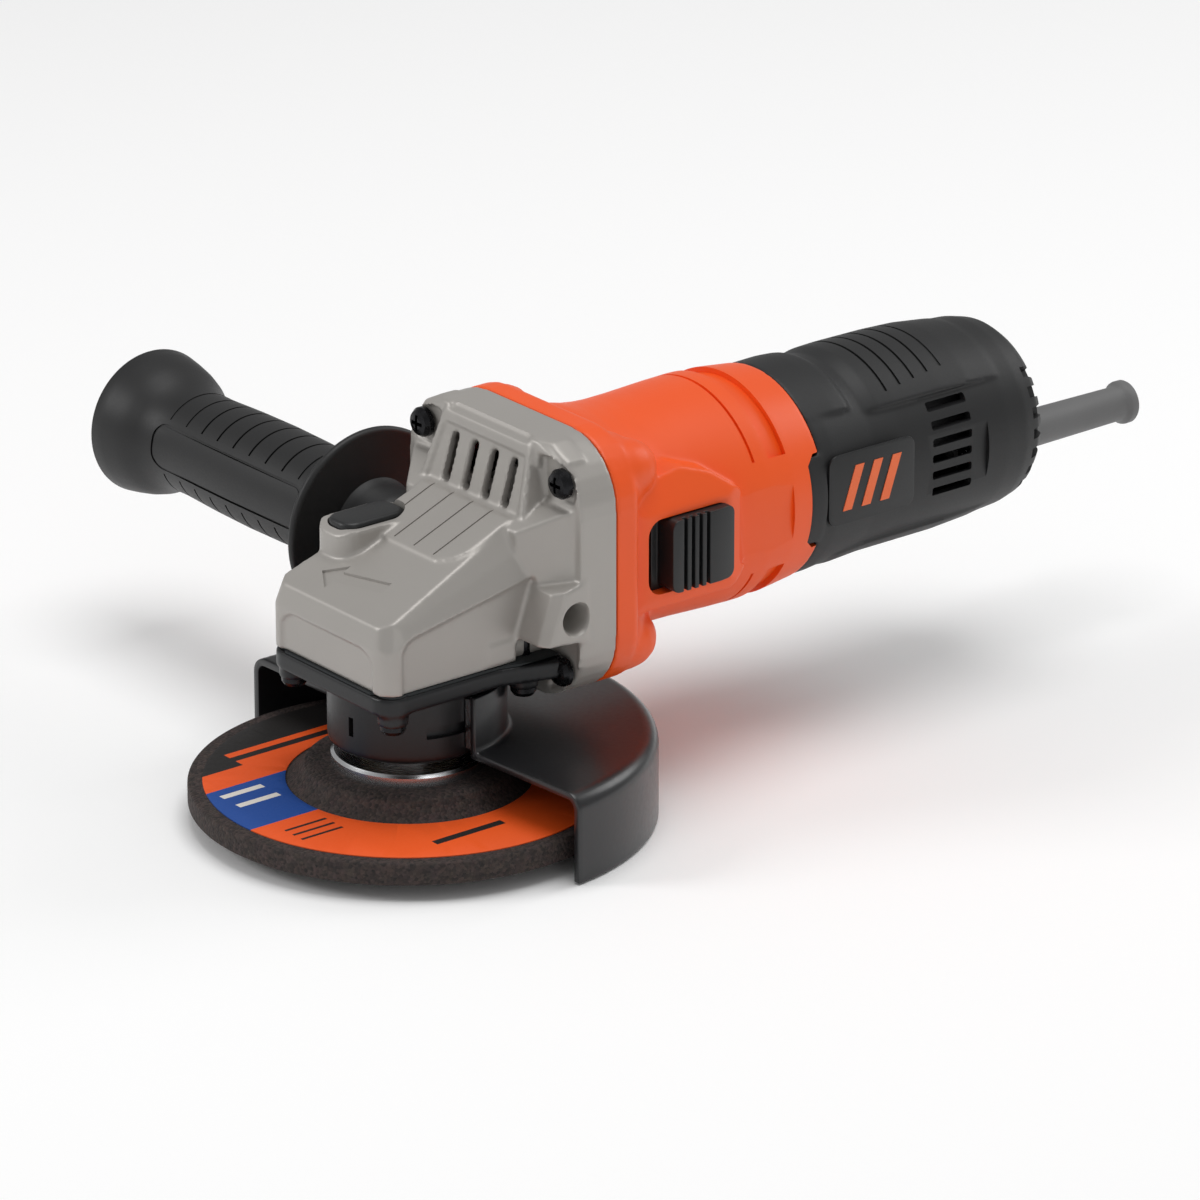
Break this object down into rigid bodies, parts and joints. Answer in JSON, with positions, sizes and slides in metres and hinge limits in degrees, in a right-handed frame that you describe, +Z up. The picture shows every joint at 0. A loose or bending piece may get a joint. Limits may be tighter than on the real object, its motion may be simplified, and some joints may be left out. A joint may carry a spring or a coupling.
{
  "type": "angle grinder",
  "caption": "Corded angle grinder with depressed-centre wheel, swivelling guard, slide switch, spindle lock and screw-in side handle.",
  "frame": {"origin": "on the spindle's axis, in the face of the backing flange that the wheel is clamped against", "axes": "+Z up along the spindle into the gear case, +Y back along the motor to the cord outlet, side handle towards -X, slide switch on +X"},
  "size_m": [0.2175, 0.3045, 0.1022],
  "materials": {
    "cast_aluminium": "cast, bead blasted and lacquered",
    "orange_plastic": "glass-filled nylon, finely textured",
    "black_plastic": "glass-filled nylon, finely textured",
    "black_casting": "black coated casting",
    "handle_plastic": "satin moulded",
    "guard_paint": "semi-gloss powder coat",
    "bright_steel": "turned and ground",
    "black_steel": "blackened screw steel",
    "gear_steel": "hardened",
    "bronze": "sintered bush",
    "felt": "felt ring",
    "gasket_paper": "sealing gasket",
    "rubber": "soft moulded rubber",
    "lamination_steel": "stacked sheet",
    "copper_wire": "enamelled winding wire",
    "copper": "commutator bars",
    "carbon": "pressed carbon",
    "suppressor_case": "moulded case",
    "abrasive": "resin-bonded grit",
    "label_paper": "printed paper label"
  },
  "bodies": {
    "housing": {"gear_case": "cast_aluminium", "gear_cover": "black_casting", "cover_gasket": "gasket_paper", "cover_screws": "black_steel", "gear_case_screws": "black_steel", "top_bush": "bronze", "spindle_bearing_outer": "bright_steel", "bearing_retainer": "bright_steel", "dust_ring": "felt", "bearing_plate": "cast_aluminium", "bearing_plate_screws": "bright_steel", "front_bearing_outer": "bright_steel", "air_baffle": "black_plastic", "motor_housing": "orange_plastic", "stator_core": "lamination_steel", "stator_coils": "copper_wire", "brush_plate": "black_plastic", "carbon_brushes": "carbon", "brush_springs": "bright_steel", "rear_bearing_outer": "bright_steel", "rear_bearing_sleeve": "rubber", "rear_cover": "black_plastic", "rear_cover_screws": "black_steel", "badge_plate": "black_plastic", "switch_body": "black_plastic", "suppressor": "suppressor_case", "cord_clamp": "black_plastic", "cord_clamp_screws": "bright_steel", "strain_relief": "rubber"},
    "spindle_set": {"spindle": "bright_steel", "ring_gear": "gear_steel", "gear_circlip": "black_steel", "spindle_bearing_inner": "bright_steel", "backing_flange": "bright_steel", "grinding_wheel": "abrasive", "wheel_bush": "bright_steel", "wheel_label": "label_paper", "clamp_nut": "bright_steel"},
    "armature": {"armature_shaft": "bright_steel", "armature_core": "lamination_steel", "armature_windings": "copper_wire", "commutator": "copper", "fan": "black_plastic", "pinion": "gear_steel", "pinion_nut": "black_steel", "front_bearing_inner": "bright_steel", "rear_bearing_inner": "bright_steel"},
    "guard_set": {"guard": "guard_paint", "guard_band": "bright_steel"},
    "slide_switch": {"switch_button": "black_plastic", "switch_rod": "black_plastic"},
    "spindle_lock": {"lock_button": "black_plastic", "lock_pin": "bright_steel", "lock_clip": "black_steel", "lock_spring": "bright_steel"},
    "side_handle": {"handle_stud": "bright_steel", "handle_grip": "handle_plastic"}
  },
  "joints": [
    {"name": "spindle_spin", "type": "hinge", "parent": "housing", "child": "spindle_set", "pos_m": [0, 0, 0], "axis": [0, 0, 1], "continuous": true},
    {"name": "armature_spin", "type": "hinge", "parent": "housing", "child": "armature", "pos_m": [0, 0.06, 0.052], "axis": [0, 1, 0], "continuous": true},
    {"name": "guard_swivel", "type": "hinge", "parent": "housing", "child": "guard_set", "pos_m": [0, 0, 0.015], "axis": [0, 0, 1], "range_deg": [-75, 75]},
    {"name": "switch_slide", "type": "slide", "parent": "housing", "child": "slide_switch", "axis": [0, -1, 0], "range_m": [0, 0.005]},
    {"name": "lock_press", "type": "slide", "parent": "housing", "child": "spindle_lock", "axis": [0, 0, -1], "range_m": [0, 0.003], "stiffness_N_per_m": 600, "springref_m": -0.002, "deforming": ["lock_spring"]},
    {"name": "handle_unscrew", "type": "slide", "parent": "housing", "child": "side_handle", "axis": [-1, 0, 0], "range_m": [0, 0.016]}
  ],
  "couplings": [
    {"joint": "armature_spin", "follows": "spindle_spin", "ratio": 3.8}
  ]
}
